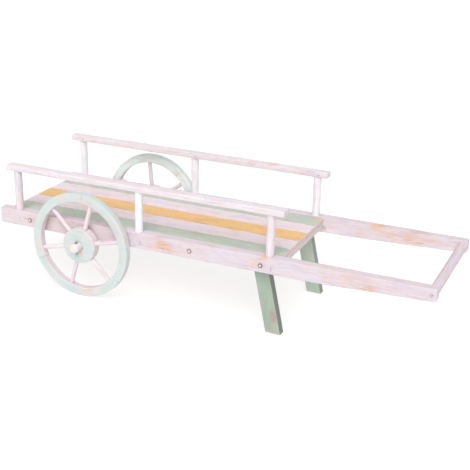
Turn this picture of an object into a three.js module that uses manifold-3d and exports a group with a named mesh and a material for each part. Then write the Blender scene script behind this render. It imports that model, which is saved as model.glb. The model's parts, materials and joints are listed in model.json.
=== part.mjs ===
// Wooden two-wheeled garden hand cart: two long side beams with a round handle bar, a slatted deck on
// bearers, a low post-and-rail fence on each side, two spoked wheels on a fixed axle, two raked legs.
// Millimetres. +X runs from the tail to the handle, +Y to the left, +Z up, ground at z = 0.
import * as THREE from 'three';
import * as BufferGeometryUtils from 'three/addons/utils/BufferGeometryUtils.js';
import Module from 'manifold-3d';

const wasm = await Module();
wasm.setup();

// ---- driving dimensions ----
const gap = 0.3; // clearance between pieces that touch
const tiltAngle = THREE.MathUtils.degToRad(1.85); // the beams rise this much towards the handle

const beamLength = 1262;
const beamHeight = 45;
const beamThickness = 28;
const beamEndHeight = 33; // at the handle end, where the underside tapers up
const taperStart = 942;
const widthOverBeams = 374;

const deckStart = 20;
const deckEnd = 854;
const deckDrop = 4; // deck top below the top of the beams
const slatCount = 5;
const slatThickness = 10;
const slatWidth = 60.5;
const slatGap = 3.2;
const bearerWidth = 28;
const bearerHeight = 18;
const bearerPlaces = { rear: 100.5, middle: 604, front: deckEnd - bearerWidth / 2 };

const postRadius = 11;
const postPlaces = {
  left: { rear: 54, middle: 441.5, front: 826.5 },
  right: { rear: 58.5, middle: 446, front: 827 },
};
const postSeatDepth = 18; // in the beam
const postRailDepth = 9; // in the rail
const railHeight = 16;
const railLength = { left: 841, right: 838 };
const railStart = { left: 18, right: 29 };
const railTop = beamHeight + 130.5;

const handleRadius = 13;

const wheelRadius = 150;
const wheelPlace = 280.5; // along the beams
const rimDepth = 25; // radial
const rimWidth = 22;
const rimSegmentCount = 3;
const hubRadius = 50;
const hubWidth = 28;
const spokeCount = 6;
const spokeRadius = 6;
const spokeHubDepth = 15;
const spokeRimDepth = 10;
const spokePhase = { left: 35.2, right: 13.4 }; // degrees, first spoke above the line of the beams
const rimJointPlace = { left: 48, right: -35.4 }; // degrees, one rim joint above the line of the beams
const axleRadius = 12.5;
const axleRunningClearance = 0.4;
const hubStandOff = 5; // from the beam's outer face to the hub
const axleStub = 24; // axle showing beyond the hub

const legWidth = 42;
const legThickness = 24;
const legRearPlace = { left: 774, right: 766 }; // rear edge at the height of the beam tops
const legRake = Math.atan(0.22);

// ---- fasteners ----
const screwRadius = 3;
const screwHeadRadius = 6.25;
const screwHeadHeight = 2.5;
const smallScrewRadius = 2.5;
const smallScrewHeadRadius = 4.5;
const smallScrewHeadHeight = 2;
const screwGrip = 30; // length of thread in the second piece
const legBoltPlace = { x: 807, z: 20 };
const nutRadius = 6;
const nutHeight = 5;
const washerRadius = 20;
const wheelPinRadius = 1.75;
const wheelPinHeadRadius = 4.5;
const wheelPinHeadHeight = 2;
const wheelPinTail = 10; // showing under the axle
const wheelPinStandOff = 10; // from the hub's outer face

// ---- facets ----
const roundSides = 24;
const smallSides = 12;
const nutSides = 6;
const bearingSides = 48;
const rimArcSegments = 24;

// ---- worked-out places ----
const beamY = (widthOverBeams - beamThickness) / 2;
const innerWidth = widthOverBeams - 2 * beamThickness;
const deckTop = beamHeight - deckDrop;
const deckUnderside = deckTop - slatThickness;
const bearerMiddleZ = deckUnderside - gap - bearerHeight / 2;
const bearerLength = innerWidth - 2 * gap;
const slatPitch = slatWidth + slatGap;
const handleX = beamLength - handleRadius;
const handleZ = beamHeight - beamEndHeight / 2;
const axleZ = -axleRadius - gap;
const hubInnerY = widthOverBeams / 2 + hubStandOff;
const hubOuterY = hubInnerY + hubWidth;
const wheelY = hubInnerY + hubWidth / 2;
const axleHalfLength = hubOuterY + axleStub;
const wheelPinY = hubOuterY + wheelPinStandOff;
const sides = { left: 1, right: -1 };

// ---- paints and metals ----
const paint = (color, roughness) => new THREE.MeshStandardMaterial({ color, roughness, metalness: 0 });
const metal = (color, roughness) => new THREE.MeshStandardMaterial({ color, roughness, metalness: 1 });
const whitewash = () => paint(0xe9dcdf, 0.75);
const sage = () => paint(0xb6bca6, 0.75);
const mint = () => paint(0xdbe6e3, 0.7);
const apricot = () => paint(0xf0c493, 0.75);
const bareWood = () => paint(0xe9ddcf, 0.8);
const steel = () => metal(0x9a9691, 0.45);

// ---- solids ----
function solidOf(geometry) {
  const bare = geometry.clone();
  bare.deleteAttribute('normal');
  bare.deleteAttribute('uv');
  const merged = BufferGeometryUtils.mergeVertices(bare, 1e-4);
  const vertProperties = new Float32Array(merged.attributes.position.array);
  const triVerts = new Uint32Array(merged.index.array);
  return new wasm.Manifold(new wasm.Mesh({ numProp: 3, vertProperties, triVerts }));
}

function geometryOf(solid) {
  const mesh = solid.getMesh();
  const geometry = new THREE.BufferGeometry();
  geometry.setAttribute('position', new THREE.BufferAttribute(mesh.vertProperties, 3));
  geometry.setIndex(new THREE.BufferAttribute(mesh.triVerts, 1));
  return geometry;
}

function cut(geometry, tools) {
  return geometryOf(tools.reduce((solid, tool) => solid.subtract(solidOf(tool)), solidOf(geometry)));
}

function join(geometries) {
  const [first, ...others] = geometries.map(solidOf);
  return geometryOf(others.reduce((solid, other) => solid.add(other), first));
}

// An outline of [x, z] points, extruded along Y and centred on y = 0.
function plank(points, thickness) {
  const outline = new THREE.Shape(points.map(([x, z]) => new THREE.Vector2(x, z)));
  const geometry = new THREE.ExtrudeGeometry(outline, { depth: thickness, bevelEnabled: false });
  return geometry.rotateX(Math.PI / 2).translate(0, thickness / 2, 0);
}

// A rod centred on a place, lying along X, Y or Z.
function rod(axis, radius, length, [x, y, z] = [0, 0, 0], facets = smallSides) {
  const geometry = new THREE.CylinderGeometry(radius, radius, length, facets);
  if (axis === 'x') geometry.rotateZ(-Math.PI / 2);
  if (axis === 'z') geometry.rotateX(Math.PI / 2);
  return geometry.translate(x, y, z);
}

// A screw along Y: its head on the side that `outward` (1 or -1) points to, seated at headY.
function screwAlongY(outward, place, headY, sizes) {
  const { radius, headRadius, headHeight, length } = sizes;
  const overlap = 1; // of shank and head, so that they join
  const shankMiddle = headY - (outward * (length - overlap)) / 2;
  const shank = rod('y', radius, length + overlap, [place.x, shankMiddle, place.z]);
  const headMiddle = headY + (outward * headHeight) / 2;
  const head = rod('y', headRadius, headHeight, [place.x, headMiddle, place.z], roundSides);
  return join([shank, head]);
}

// ---- assembly ----
const cart = new THREE.Group();
const chassis = new THREE.Group();
cart.add(chassis);

function addPiece(name, geometry, material, [x, y, z] = [0, 0, 0], parent = chassis) {
  const mesh = new THREE.Mesh(geometry, material);
  mesh.name = name;
  mesh.position.set(x, y, z);
  parent.add(mesh);
  return mesh;
}

// ---- fastener places, shared by the pieces they pass through ----
const rearScrewPlace = { x: bearerPlaces.rear, z: bearerMiddleZ };
const middleScrewPlace = { x: bearerPlaces.middle, z: bearerMiddleZ };
const frontScrewPlace = { x: bearerPlaces.front, z: bearerMiddleZ };
const handlePlace = { x: handleX, z: handleZ };

// ---- side beams ----
function sideBeam(hand) {
  const outline = [
    [0, 0],
    [taperStart, 0],
    [beamLength, beamHeight - beamEndHeight],
    [beamLength, beamHeight],
    [0, beamHeight],
  ];
  const through = 2 * beamThickness;
  const bores = [];
  for (const x of Object.values(postPlaces[hand])) {
    const seat = [x, 0, beamHeight - postSeatDepth / 2];
    bores.push(rod('z', postRadius + gap, postSeatDepth + 2 * gap, seat, roundSides));
  }
  for (const { x, z } of [rearScrewPlace, middleScrewPlace, legBoltPlace]) {
    bores.push(rod('y', screwRadius + gap, through, [x, 0, z]));
  }
  for (const { x, z } of [frontScrewPlace, handlePlace]) {
    bores.push(rod('y', smallScrewRadius + gap, through, [x, 0, z]));
  }
  bores.push(rod('z', smallScrewRadius + gap, 2 * (screwGrip + gap), [wheelPlace, 0, 0]));
  return cut(plank(outline, beamThickness), bores);
}

for (const [hand, side] of Object.entries(sides)) {
  addPiece(`side_beam_${hand}`, sideBeam(hand), whitewash(), [0, side * beamY, 0]);
}

// ---- handle bar ----
const handleLength = innerWidth - 2 * gap;
const handleBores = Object.values(sides).map((side) =>
  rod('y', smallScrewRadius + gap, 2 * (screwGrip + gap), [0, (side * handleLength) / 2, 0]),
);
const handleBar = cut(rod('y', handleRadius, handleLength, [0, 0, 0], roundSides), handleBores);
addPiece('handle_bar', handleBar, whitewash(), [handleX, 0, handleZ]);

// ---- bearers ----
function bearer(endScrewRadius) {
  const block = new THREE.BoxGeometry(bearerWidth, bearerLength, bearerHeight);
  const bores = Object.values(sides).map((side) =>
    rod('y', endScrewRadius + gap, 2 * (screwGrip + gap), [0, (side * bearerLength) / 2, 0]),
  );
  return cut(block, bores);
}

for (const [name, place] of Object.entries(bearerPlaces)) {
  const endScrewRadius = name === 'front' ? smallScrewRadius : screwRadius;
  addPiece(`deck_bearer_${name}`, bearer(endScrewRadius), whitewash(), [place, 0, bearerMiddleZ]);
}

// ---- deck slats ----
const slatPaints = [sage, whitewash, apricot, whitewash, sage];
const slatLength = deckEnd - deckStart;
const slatMiddle = (deckStart + deckEnd) / 2;

for (let row = 0; row < slatCount; row += 1) {
  const y = (row - (slatCount - 1) / 2) * slatPitch;
  const board = new THREE.BoxGeometry(slatLength, slatWidth, slatThickness);
  addPiece(`deck_slat_${row + 1}`, board, slatPaints[row](), [slatMiddle, y, deckTop - slatThickness / 2]);
}

// ---- posts and top rails ----
const postBottom = beamHeight - postSeatDepth;
const postTop = railTop - railHeight + postRailDepth;
const postLength = postTop - postBottom;
const postMiddleZ = (postTop + postBottom) / 2;

function topRail(hand) {
  const middle = railStart[hand] + railLength[hand] / 2;
  const bores = [];
  for (const x of Object.values(postPlaces[hand])) {
    const socket = [x - middle, 0, -railHeight / 2];
    bores.push(rod('z', postRadius + gap, 2 * (postRailDepth + gap), socket, roundSides));
  }
  return cut(new THREE.BoxGeometry(railLength[hand], beamThickness, railHeight), bores);
}

for (const [hand, side] of Object.entries(sides)) {
  for (const [name, x] of Object.entries(postPlaces[hand])) {
    const post = rod('z', postRadius, postLength, [0, 0, 0], roundSides);
    addPiece(`post_${hand}_${name}`, post, whitewash(), [x, side * beamY, postMiddleZ]);
  }
  const place = [railStart[hand] + railLength[hand] / 2, side * beamY, railTop - railHeight / 2];
  addPiece(`top_rail_${hand}`, topRail(hand), whitewash(), place);
}

// ---- legs: raked boards inside the beams, feet cut flat on the ground ----
function groundHeight(x) {
  const run = x - wheelPlace;
  return axleZ - (wheelRadius + Math.sin(tiltAngle) * run) / Math.cos(tiltAngle);
}

// Where a raked edge, at x = edge at the height of the beam tops, meets the ground.
function footOf(edge) {
  const rake = Math.tan(legRake);
  const slope = Math.tan(tiltAngle);
  const x = (edge + rake * (beamHeight - groundHeight(0))) / (1 - rake * slope);
  return [x, groundHeight(x)];
}

const legTop = deckUnderside - 2 * gap;
const legTopShift = Math.tan(legRake) * (beamHeight - legTop);

function legOutline(rearPlace) {
  const frontPlace = rearPlace + legWidth / Math.cos(legRake);
  return [
    [rearPlace + legTopShift, legTop],
    footOf(rearPlace),
    footOf(frontPlace),
    [frontPlace + legTopShift, legTop],
  ];
}

const legY = innerWidth / 2 - gap - legThickness / 2;
const legBore = rod('y', screwRadius + gap, 2 * legThickness, [legBoltPlace.x, 0, legBoltPlace.z]);

for (const [hand, side] of Object.entries(sides)) {
  const board = plank(legOutline(legRearPlace[hand]), legThickness);
  addPiece(`leg_${hand}`, cut(board, [legBore]), sage(), [0, side * legY, 0]);
}

// ---- axle and what holds the wheels on it ----
const axleBores = Object.values(sides).flatMap((side) => [
  rod('z', smallScrewRadius + gap, 4 * axleRadius, [0, side * beamY, 0]),
  rod('z', wheelPinRadius + gap, 4 * axleRadius, [0, side * wheelPinY, 0]),
]);
const axleRod = rod('y', axleRadius, 2 * axleHalfLength, [0, 0, 0], bearingSides);
addPiece('axle', cut(axleRod, axleBores), bareWood(), [wheelPlace, 0, axleZ]);

function ring(radius, boreRadius, width, facets) {
  const bore = rod('y', boreRadius, 2 * width, [0, 0, 0], bearingSides);
  return cut(rod('y', radius, width, [0, 0, 0], facets), [bore]);
}

const washerWidth = hubStandOff - 3 * gap;
const bearingBore = axleRadius + axleRunningClearance;
const pinTop = axleRadius + gap + wheelPinHeadHeight;
const pinTip = -axleRadius - wheelPinTail;
for (const [hand, side] of Object.entries(sides)) {
  const washerY = side * (widthOverBeams / 2 + gap + washerWidth / 2);
  const washer = ring(washerRadius, bearingBore, washerWidth, roundSides);
  addPiece(`axle_washer_${hand}`, washer, steel(), [wheelPlace, washerY, axleZ]);
  const shank = rod('z', wheelPinRadius, pinTop - pinTip, [0, 0, (pinTop + pinTip) / 2]);
  const headMiddle = [0, 0, pinTop - wheelPinHeadHeight / 2];
  const head = rod('z', wheelPinHeadRadius, wheelPinHeadHeight, headMiddle, roundSides);
  addPiece(`wheel_pin_${hand}`, join([shank, head]), steel(), [wheelPlace, side * wheelPinY, axleZ]);
}

// ---- wheels ----
const rimInnerRadius = wheelRadius - rimDepth;
const spokeInner = hubRadius - spokeHubDepth;
const spokeOuter = rimInnerRadius + spokeRimDepth;
const spokeStep = (2 * Math.PI) / spokeCount;

// A spoke, or its socket, at an angle above +X in the wheel's plane.
function spokeAt(angle, radius, inner, outer) {
  return rod('x', radius, outer - inner, [(outer + inner) / 2, 0, 0]).rotateY(-angle);
}

function spokeSockets(phase) {
  return Array.from({ length: spokeCount }, (_, n) =>
    spokeAt(phase + n * spokeStep, spokeRadius + gap, spokeInner - gap, spokeOuter + gap),
  );
}

function rimSegment(start, end) {
  const outline = new THREE.Shape();
  outline.absarc(0, 0, wheelRadius, start, end, false);
  outline.absarc(0, 0, rimInnerRadius, end, start, true);
  const settings = { depth: rimWidth, bevelEnabled: false, curveSegments: rimArcSegments };
  const geometry = new THREE.ExtrudeGeometry(outline, settings);
  return geometry.rotateX(Math.PI / 2).translate(0, rimWidth / 2, 0);
}

for (const [hand, side] of Object.entries(sides)) {
  const wheel = new THREE.Group();
  wheel.position.set(wheelPlace, side * wheelY, axleZ);
  chassis.add(wheel);
  const phase = THREE.MathUtils.degToRad(spokePhase[hand]);
  const sockets = spokeSockets(phase);
  const segmentStep = (2 * Math.PI) / rimSegmentCount;
  const jointGapAngle = gap / wheelRadius;
  for (let n = 0; n < rimSegmentCount; n += 1) {
    const start = THREE.MathUtils.degToRad(rimJointPlace[hand]) + n * segmentStep;
    const segment = rimSegment(start + jointGapAngle, start + segmentStep - jointGapAngle);
    addPiece(`wheel_${hand}_rim_segment_${n + 1}`, cut(segment, sockets), mint(), undefined, wheel);
  }
  const hub = cut(ring(hubRadius, bearingBore, hubWidth, bearingSides), sockets);
  addPiece(`wheel_${hand}_hub`, hub, mint(), undefined, wheel);
  for (let n = 0; n < spokeCount; n += 1) {
    const spoke = spokeAt(phase + n * spokeStep, spokeRadius, spokeInner, spokeOuter);
    addPiece(`wheel_${hand}_spoke_${n + 1}`, spoke, whitewash(), undefined, wheel);
  }
}

// ---- screws, bolts and nuts ----
const screwLength = gap + beamThickness + screwGrip;
const largeScrew = {
  radius: screwRadius,
  headRadius: screwHeadRadius,
  headHeight: screwHeadHeight,
  length: screwLength,
};
const smallScrew = {
  radius: smallScrewRadius,
  headRadius: smallScrewHeadRadius,
  headHeight: smallScrewHeadHeight,
  length: screwLength,
};
const legBolt = { ...largeScrew, length: 3 * gap + beamThickness + legThickness + nutHeight };
const sideFasteners = {
  bearer_screw_rear: [rearScrewPlace, largeScrew],
  bearer_screw_middle: [middleScrewPlace, largeScrew],
  bearer_screw_front: [frontScrewPlace, smallScrew],
  handle_screw: [handlePlace, smallScrew],
  leg_bolt: [legBoltPlace, legBolt],
};
const nutY = innerWidth / 2 - legThickness - 2 * gap - nutHeight / 2;
const axleScrewHeadZ = axleZ - axleRadius - smallScrewHeadHeight / 2;

for (const [hand, side] of Object.entries(sides)) {
  for (const [name, [place, sizes]] of Object.entries(sideFasteners)) {
    const headY = side * (widthOverBeams / 2 + gap);
    addPiece(`${name}_${hand}`, screwAlongY(side, place, headY, sizes), steel());
  }
  const nutBore = rod('y', screwRadius + gap, 2 * nutHeight);
  const nut = cut(rod('y', nutRadius, nutHeight, [0, 0, 0], nutSides), [nutBore]);
  addPiece(`leg_nut_${hand}`, nut, steel(), [legBoltPlace.x, side * nutY, legBoltPlace.z]);
  const shankLength = screwGrip - axleScrewHeadZ;
  const shank = rod('z', smallScrewRadius, shankLength, [0, 0, screwGrip - shankLength / 2]);
  const headMiddle = [0, 0, axleScrewHeadZ - gap];
  const head = rod('z', smallScrewHeadRadius, smallScrewHeadHeight, headMiddle, roundSides);
  addPiece(`axle_screw_${hand}`, join([shank, head]), steel(), [wheelPlace, side * beamY, 0]);
}

// ---- stand the cart on its wheels and feet, its middle over the origin ----
chassis.rotation.y = -tiltAngle;
cart.updateMatrixWorld(true);
const bounds = new THREE.Box3().setFromObject(cart, true);
cart.position.x = -(bounds.min.x + bounds.max.x) / 2;
cart.position.z = -bounds.min.z;

export default cart;
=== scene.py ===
"""A garden hand cart in worn pastel paint on pine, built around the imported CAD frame.

Every CAD node is measured and rebuilt as a detailed piece in the same place. The cart stands a
little nose-up, so its boards are shaped in the chassis' own level frame and then turned back.
Metres, +X towards the handle, +Y to the left, +Z up.
"""
import json
import math

import bmesh
import bpy
import numpy as np
from mathutils import Matrix, Vector


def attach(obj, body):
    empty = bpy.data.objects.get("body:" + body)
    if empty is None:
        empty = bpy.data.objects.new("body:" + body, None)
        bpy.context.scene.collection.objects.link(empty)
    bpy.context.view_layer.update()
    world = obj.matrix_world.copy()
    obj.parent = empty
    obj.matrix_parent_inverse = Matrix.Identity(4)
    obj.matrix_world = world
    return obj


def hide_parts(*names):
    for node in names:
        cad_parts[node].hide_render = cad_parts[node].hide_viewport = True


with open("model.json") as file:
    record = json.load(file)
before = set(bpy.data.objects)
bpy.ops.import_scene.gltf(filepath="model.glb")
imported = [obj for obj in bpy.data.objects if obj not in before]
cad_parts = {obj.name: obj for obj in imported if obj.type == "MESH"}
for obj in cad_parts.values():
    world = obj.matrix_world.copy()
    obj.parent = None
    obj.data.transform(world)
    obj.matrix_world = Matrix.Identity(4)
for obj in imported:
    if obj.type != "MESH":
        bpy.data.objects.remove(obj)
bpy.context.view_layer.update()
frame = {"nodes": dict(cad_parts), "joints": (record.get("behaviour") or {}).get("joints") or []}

MM = 0.001
SIDES = {"left": 1, "right": -1}
ROWS = ("rear", "middle", "front")
GAP = 0.3 * MM  # running gap between pieces that touch

# ---- radii of shanks and bores ----
SHANK = 3.0 * MM
SMALL_SHANK = 2.5 * MM
POST_BORE = 11.3 * MM
WHEEL_PIN_BORE = 2.05 * MM
WASHER_BORE = 12.9 * MM
SCREW_REACH = 30.3 * MM  # how deep a screw's bore goes into the end of a crosspiece


# ---- the chassis' level frame ----
def corners(node):
    return np.array([v.co for v in frame["nodes"][node].data.vertices])


def slope_of(node):
    """How far a straight board rises towards +X."""
    points = corners(node)
    ahead = points[:, 0] > points[:, 0].mean()
    run = points[ahead].mean(0) - points[~ahead].mean(0)
    return math.atan2(run[2], run[0])


def joint_place(body):
    return np.array(next(joint["pos_m"] for joint in frame["joints"] if joint["child"] == body))


TILT = slope_of("deck_slat_3")
LEVEL_TO_WORLD = np.array(Matrix.Rotation(-TILT, 3, "Y"))
WHEEL_CENTRE = {hand: joint_place(f"wheel_{hand}") for hand in SIDES}


def level_points(node):
    return corners(node) @ LEVEL_TO_WORLD


def level_box(node):
    points = level_points(node)
    return points.min(0), points.max(0)


# ---- repeatable unevenness ----
WAVES = 7


def ripple(points, size, seed):
    """Smooth waves from -1 to 1, roughly `size` long."""
    draw = np.random.default_rng(seed)
    total = np.zeros(len(points))
    for _ in range(WAVES):
        direction = draw.normal(size=3)
        direction *= 2 * math.pi / size * draw.uniform(0.6, 1.5) / np.linalg.norm(direction)
        total += np.sin(points @ direction + draw.uniform(0, 2 * math.pi))
    return np.clip(total / (WAVES / 2), -1, 1)


def seed_of(name):
    return sum((n + 1) * ord(c) for n, c in enumerate(name))


# ---- outlines and lofts ----
SHORT_FLAT = 14 * MM
FLAT_PITCH = 9 * MM


def shares(length):
    """Where a flat is divided: close to both its ends, then evenly."""
    if length < SHORT_FLAT:
        return [0.5]
    near, next_in = 1.8 * MM / length, 5 * MM / length
    count = max(1, round((1 - 2 * next_in) * length / FLAT_PITCH))
    return [near, *np.linspace(next_in, 1 - next_in, count + 1), 1 - near]


ARC_STEPS = 4


def outline(width, height, radius, across, up):
    """A rounded rectangle, anticlockwise from the bottom right; `across` and `up` divide its flats."""
    places = [(1, -1), (1, 1), (-1, 1), (-1, -1)]
    flats = [up, across, up, across]
    half = np.array([width / 2 - radius, height / 2 - radius])

    def on_arc(corner, degrees):
        angle = math.radians(degrees)
        return corner * half + radius * np.array([math.cos(angle), math.sin(angle)])

    points = []
    for n, corner in enumerate(places):
        start = 90 * (n - 1)
        points += [on_arc(np.array(corner), start + 90 * k / ARC_STEPS) for k in range(ARC_STEPS + 1)]
        onward = on_arc(np.array(places[(n + 1) % 4]), start + 90)
        points += [points[-1] + share * (onward - points[-1]) for share in flats[n]]
    return np.array(points)


def stations(length, radius, pitch, end_radius=None):
    """(place, inset) pairs along a piece with rounded ends."""
    end_radius = end_radius or radius
    turns = [math.radians(degrees) for degrees in (0, 22, 45, 67, 90)]

    def rounded(r):
        return [(r * (1 - math.cos(turn)), r * (1 - math.sin(turn))) for turn in turns]

    first, last = radius + 2 * MM, length - end_radius - 2 * MM
    count = max(2, round((last - first) / pitch))
    middle = [(place, 0.0) for place in np.linspace(first, last, count + 1)]
    far_end = [(length - place, inset) for place, inset in reversed(rounded(end_radius))]
    return rounded(radius) + middle + far_end


def loft(rows, closed=False):
    """Vertices and faces through rows of points; the ends are capped unless the rows join up."""
    count, size = len(rows), len(rows[0])
    faces = []
    for a in range(count if closed else count - 1):
        b = (a + 1) % count
        for k in range(size):
            m = (k + 1) % size
            faces.append((a * size + k, a * size + m, b * size + m, b * size + k))
    if not closed:
        faces.append(tuple(range(size))[::-1])
        faces.append(tuple((count - 1) * size + k for k in range(size)))
    return np.concatenate(rows), faces


def merge(parts):
    """Several bodies as one list of vertices and faces."""
    vertices, faces, offset = [], [], 0
    for points, polygons in parts:
        vertices.append(points)
        faces += [tuple(i + offset for i in polygon) for polygon in polygons]
        offset += len(points)
    return np.concatenate(vertices), faces


def frame_along(axis):
    """Three unit vectors, the first along `axis`."""
    first = np.array(axis, float) / np.linalg.norm(axis)
    helper = np.array([0, 0, 1.0]) if abs(first[2]) < 0.9 else np.array([1.0, 0, 0])
    second = np.cross(helper, first)
    second /= np.linalg.norm(second)
    return first, second, np.cross(first, second)


def turned(start, end, profile, sides):
    """A body of revolution: `profile` holds (distance from start, radius) pairs."""
    along, u, v = frame_along(np.array(end) - np.array(start))
    angles = np.arange(sides) * 2 * math.pi / sides
    circle = np.cos(angles)[:, None] * u + np.sin(angles)[:, None] * v
    return loft([start + along * place + circle * radius for place, radius in profile])


def ring_of(centre, axis, profile, sides):
    """A ring: `profile` is a closed outline of (radius, distance along the axis) pairs."""
    along, u, v = frame_along(axis)
    angles = np.arange(sides) * 2 * math.pi / sides
    rows = []
    for angle in angles:
        outward = math.cos(angle) * u + math.sin(angle) * v
        rows.append(centre + profile[:, :1] * outward + profile[:, 1:] * along)
    return loft(rows, closed=True)


# ---- from points to objects ----
def new_object(name, vertices, faces):
    mesh = bpy.data.meshes.new(name)
    mesh.from_pydata([tuple(v) for v in vertices], [], faces)
    shape = bmesh.new()
    shape.from_mesh(mesh)
    bmesh.ops.recalc_face_normals(shape, faces=shape.faces)
    shape.to_mesh(mesh)
    shape.free()
    piece = bpy.data.objects.new(name, mesh)
    bpy.context.scene.collection.objects.link(piece)
    return piece


def points_of(piece):
    flat = np.zeros(len(piece.data.vertices) * 3, np.float32)
    piece.data.vertices.foreach_get("co", flat)
    return flat.reshape(-1, 3).astype(float)


def set_points(piece, points):
    piece.data.vertices.foreach_set("co", np.asarray(points, np.float32).ravel())
    piece.data.update()


def uneven(piece, depth, size, seed):
    """Hand-planed unevenness: the surface only ever moves inwards."""
    normals = np.array([v.normal for v in piece.data.vertices])
    points = points_of(piece)
    inwards = depth * (0.5 + 0.5 * ripple(points, size, seed))
    set_points(piece, points - normals * inwards[:, None])


def drill(piece, bodies):
    """Cuts these bodies out of the piece."""
    if not bodies:
        return
    cutter = new_object("cutter", *merge(bodies))
    modifier = piece.modifiers.new("holes", "BOOLEAN")
    modifier.operation = "DIFFERENCE"
    modifier.solver = "MANIFOLD"
    modifier.object = cutter
    evaluated = piece.evaluated_get(bpy.context.evaluated_depsgraph_get())
    drilled = bpy.data.meshes.new_from_object(evaluated)
    piece.modifiers.clear()
    piece.data = drilled
    bpy.data.objects.remove(cutter)


ARRIS_REACH = 3.2 * MM


def near_arris(distances):
    """1 on an edge between two faces, falling to 0 a few millimetres away."""
    nearest = np.sort(np.clip(distances, 0, None), axis=1)
    return np.clip(1 - np.hypot(nearest[:, 0], nearest[:, 1]) / ARRIS_REACH, 0, 1)


def near_spots(local, spots):
    """The sum of soft spots: (place, reach, strength) each, in millimetres from the piece's low corner."""
    total = np.zeros(len(local))
    for place, reach, strength in spots:
        apart = (local - np.array(place) * MM) / (np.array(reach) * MM)
        total += strength * np.exp(-(apart**2).sum(1))
    return total


FAR_AWAY = 9.0  # knot distance, in knot radii, on a piece without a knot


def store(piece, name, values):
    """One number or one vector for each point, for the materials to read."""
    values = np.asarray(values, np.float32)
    kind, key = ("FLOAT", "value") if values.ndim == 1 else ("FLOAT_VECTOR", "vector")
    piece.data.attributes.new(name, kind, "POINT").data.foreach_set(key, values.ravel())


def mark(piece, local, distances, spots=(), knots=(), coat=None, family=None):
    """Stores what the paint needs at each point: its place in the grain, wear, knots and second coat.

    `local` runs along the grain first, and `distances` are the distances to the nearest faces.
    Pieces of one `family` share one grain, so that the paint runs on from piece to piece."""
    draw = np.random.default_rng(seed_of(family or piece.name) + 5)
    pith = np.array([
        draw.uniform(-20, 20),
        draw.choice([-1, 1]) * draw.uniform(0.02, 0.05),
        draw.uniform(-0.06, -0.03)])
    knot = np.full((len(local), 3), FAR_AWAY)
    for place, reach in knots:
        apart = (local - np.array(place) * MM) / (np.array(reach) * MM)
        nearer = np.linalg.norm(apart, axis=1) < np.linalg.norm(knot, axis=1)
        knot[nearer] = apart[nearer]
    store(piece, "grain", local + pith)
    store(piece, "knot", knot)
    store(piece, "edge", near_arris(distances))
    store(piece, "worn", near_spots(local, spots))
    store(piece, "coat", np.zeros(len(local)) if coat is None else coat)


def far_from_edges(local):
    """Distances for a piece without worn edges."""
    return np.full((len(local), 2), 1.0)


def finish_piece(piece, body, material, nodes=(), smooth=38):
    """Shades and paints a piece, hides the CAD nodes it stands for and hangs it on its body; edges sharper
    than `smooth` degrees stay crisp.
    """
    mesh = piece.data
    mesh.polygons.foreach_set("use_smooth", [True] * len(mesh.polygons))
    mesh.set_sharp_from_angle(angle=math.radians(smooth))
    mesh.materials.clear()
    mesh.materials.append(material)
    mesh.update()
    if nodes:
        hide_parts(*nodes)
    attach(piece, body)
    return piece


def to_world(piece):
    set_points(piece, points_of(piece) @ LEVEL_TO_WORLD.T)


# ---- colours ----
def srgb(*parts):
    """A colour as a paint chart gives it, red, green and blue from 0 to 255, made linear."""
    bright = [part / 255 for part in parts]
    return (*(b / 12.92 if b <= 0.04045 else ((b + 0.055) / 1.055) ** 2.4 for b in bright), 1.0)


WOOD_LIGHT = srgb(230, 196, 170)
WOOD_DARK = srgb(198, 150, 122)
KNOT_BROWN = srgb(168, 128, 110)
PEACH = srgb(230, 186, 165)
COOL_TINT = srgb(244, 247, 255)
WARM_TINT = srgb(255, 244, 239)
STREAK_TINT = srgb(242, 234, 232)
GRIME = srgb(178, 158, 150)


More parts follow.
